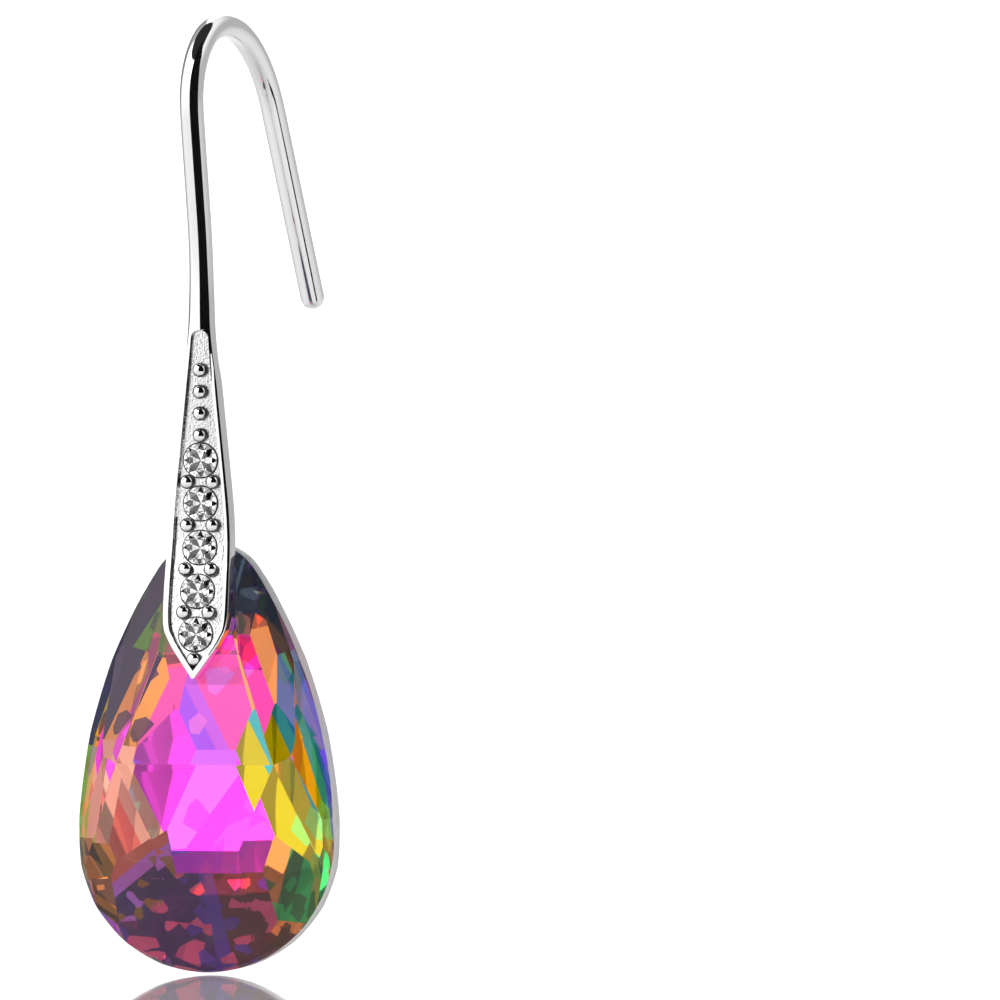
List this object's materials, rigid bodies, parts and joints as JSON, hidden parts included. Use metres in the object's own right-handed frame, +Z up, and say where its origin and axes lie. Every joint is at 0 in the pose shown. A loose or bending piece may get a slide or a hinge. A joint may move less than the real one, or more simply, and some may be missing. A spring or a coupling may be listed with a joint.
{
  "type": "drop earring",
  "caption": "Drop earring: a bent ear wire that widens into a bail set with round stones, and a faceted pear-shaped crystal hanging behind the bail's point.",
  "frame": {"origin": "the underside of the ear wire's crown, where the wire bears on the ear", "axes": "+Z up the hanging earring, -Y to the earring's front (the stones and the crystal's table), +X to the right as its front is seen"},
  "size_m": [0.0123, 0.0158, 0.045],
  "materials": {
    "metal": "mirror-polished rhodium plate on silver",
    "clear_stone": "clear cubic zirconia with polished facets",
    "coated_crystal": "polished facets with a colour-shifting metal coating on the back"
  },
  "bodies": {
    "root": {"ear_hook": "metal", "stone_1": "clear_stone", "stone_2": "clear_stone", "stone_3": "clear_stone", "stone_4": "clear_stone", "stone_5": "clear_stone", "drop_pin": "metal", "crystal_drop": "coated_crystal"}
  },
  "joints": []
}
